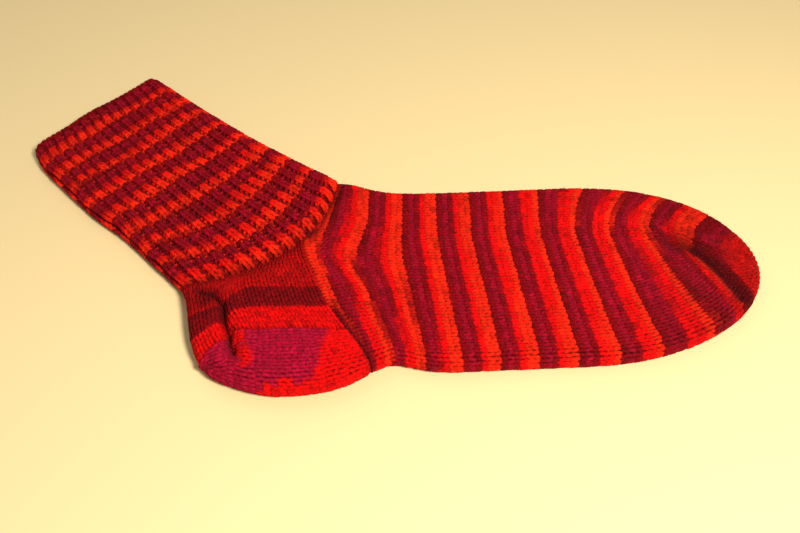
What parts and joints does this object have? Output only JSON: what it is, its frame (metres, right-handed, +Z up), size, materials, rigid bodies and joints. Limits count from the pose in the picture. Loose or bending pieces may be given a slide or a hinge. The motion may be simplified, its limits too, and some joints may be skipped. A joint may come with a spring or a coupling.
{
  "type": "hand-knitted sock",
  "caption": "Short hand-knitted wool sock in red and maroon stripes, with a ribbed leg, flap heel and wedge toe, lying flat on its side.",
  "frame": {"origin": "centre of the sock's footprint on the surface it lies on", "axes": "+X along the foot to the toe, +Z up from the surface, the leg turning off towards -X and +Y"},
  "size_m": [0.3209, 0.1866, 0.0135],
  "materials": {
    "rib_wool": "striped wool knitted in rib",
    "foot_wool": "striped wool knitted in stockinette",
    "heel_wool": "striped wool knitted in stockinette",
    "edge_wool": "dark wool cast-on row"
  },
  "bodies": {
    "foot": {"heel_flap": "heel_wool", "heel_turn": "heel_wool", "gusset_near": "foot_wool", "gusset_far": "foot_wool", "instep": "foot_wool", "sole": "foot_wool"},
    "leg": {"rib_leg": "rib_wool"},
    "cuff": {"rib_cuff": "rib_wool", "cast_on_edge": "edge_wool"},
    "toe": {"toe_instep_half": "foot_wool", "toe_sole_half": "foot_wool", "toe_decreases_near": "foot_wool", "toe_decreases_far": "foot_wool", "toe_tip": "foot_wool"}
  },
  "joints": [
    {"name": "ankle_fold", "type": "hinge", "parent": "foot", "child": "leg", "pos_m": [-0.0131, 0.0181, 0.01], "axis": [0.7193, 0.6947, 0], "range_deg": [0, 130]},
    {"name": "cuff_fold", "type": "hinge", "parent": "leg", "child": "cuff", "pos_m": [-0.0775, 0.0642, 0.01], "axis": [0.6796, 0.7336, 0], "range_deg": [0, 170]},
    {"name": "toe_fold", "type": "hinge", "parent": "foot", "child": "toe", "pos_m": [0.0859, -0.0317, 0.0104], "axis": [0, -1, 0], "range_deg": [0, 150]}
  ]
}
